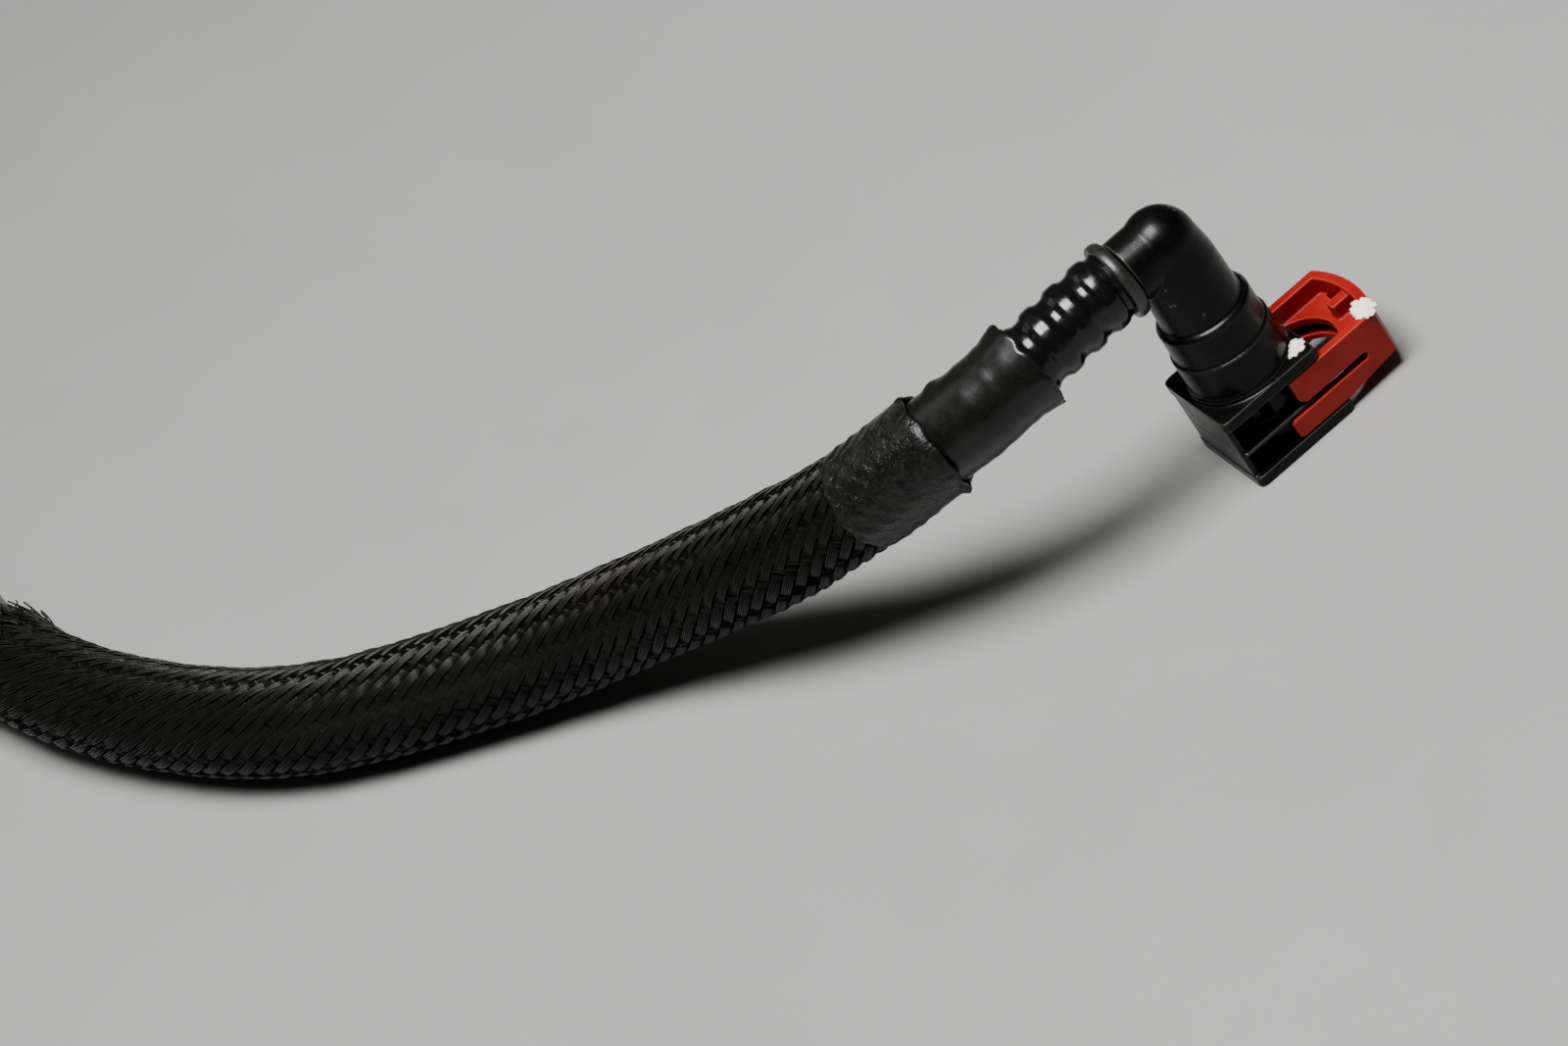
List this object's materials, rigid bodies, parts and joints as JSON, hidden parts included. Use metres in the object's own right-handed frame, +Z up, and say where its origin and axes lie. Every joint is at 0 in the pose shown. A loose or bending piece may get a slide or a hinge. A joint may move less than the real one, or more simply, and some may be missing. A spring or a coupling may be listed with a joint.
{
  "type": "fuel hose assembly",
  "caption": "Braided flexible fluid hose with an elbow quick connector and slide-in lock at each end.",
  "frame": {"origin": "centre of the bounding box at the level of the surface the hose rests on", "axes": "+X from the pump connector's mouth towards the rail connector, along its lock's way out; +Y from the rail connector towards the pump connector; +Z up"},
  "size_m": [0.2426, 0.2606, 0.0497],
  "materials": {
    "connector_nylon": "satin black moulded nylon, worn at the edges",
    "lock_red": "satin red moulded plastic, paler at the edges",
    "retainer_nylon": "dark grey moulded nylon",
    "spacer_nylon": "natural moulded nylon",
    "seal_rubber": "oiled black rubber",
    "collar_rubber": "satin black rubber",
    "tube_nylon": "glossy black extruded nylon",
    "protector_rubber": "satin black rubber with scuffs",
    "braid_polyester": "black braided polyester monofilament, dusty",
    "cuff_rubber": "black shrink rubber with grey dust"
  },
  "bodies": {
    "hose": {"rail_elbow_body": "connector_nylon", "rail_pipe_retainer": "retainer_nylon", "rail_seal_bush": "retainer_nylon", "rail_outer_o_ring": "seal_rubber", "rail_seal_spacer": "spacer_nylon", "rail_inner_o_ring": "seal_rubber", "rail_tube_collar": "collar_rubber", "pump_elbow_body": "connector_nylon", "pump_pipe_retainer": "retainer_nylon", "pump_seal_bush": "retainer_nylon", "pump_outer_o_ring": "seal_rubber", "pump_seal_spacer": "spacer_nylon", "pump_inner_o_ring": "seal_rubber", "pump_tube_collar": "collar_rubber", "corrugated_tube": "tube_nylon", "protector_hose": "protector_rubber", "braided_sleeve": "braid_polyester", "shrink_cuff": "cuff_rubber"},
    "rail_lock": {"rail_lock_slide": "lock_red"},
    "pump_lock": {"pump_lock_slide": "lock_red"}
  },
  "joints": [
    {"name": "rail_lock_push", "type": "slide", "parent": "hose", "child": "rail_lock", "axis": [-1, 0, 0], "range_m": [0, 0.0083]},
    {"name": "pump_lock_push", "type": "slide", "parent": "hose", "child": "pump_lock", "axis": [0, -1, 0], "range_m": [0, 0.0083]}
  ]
}
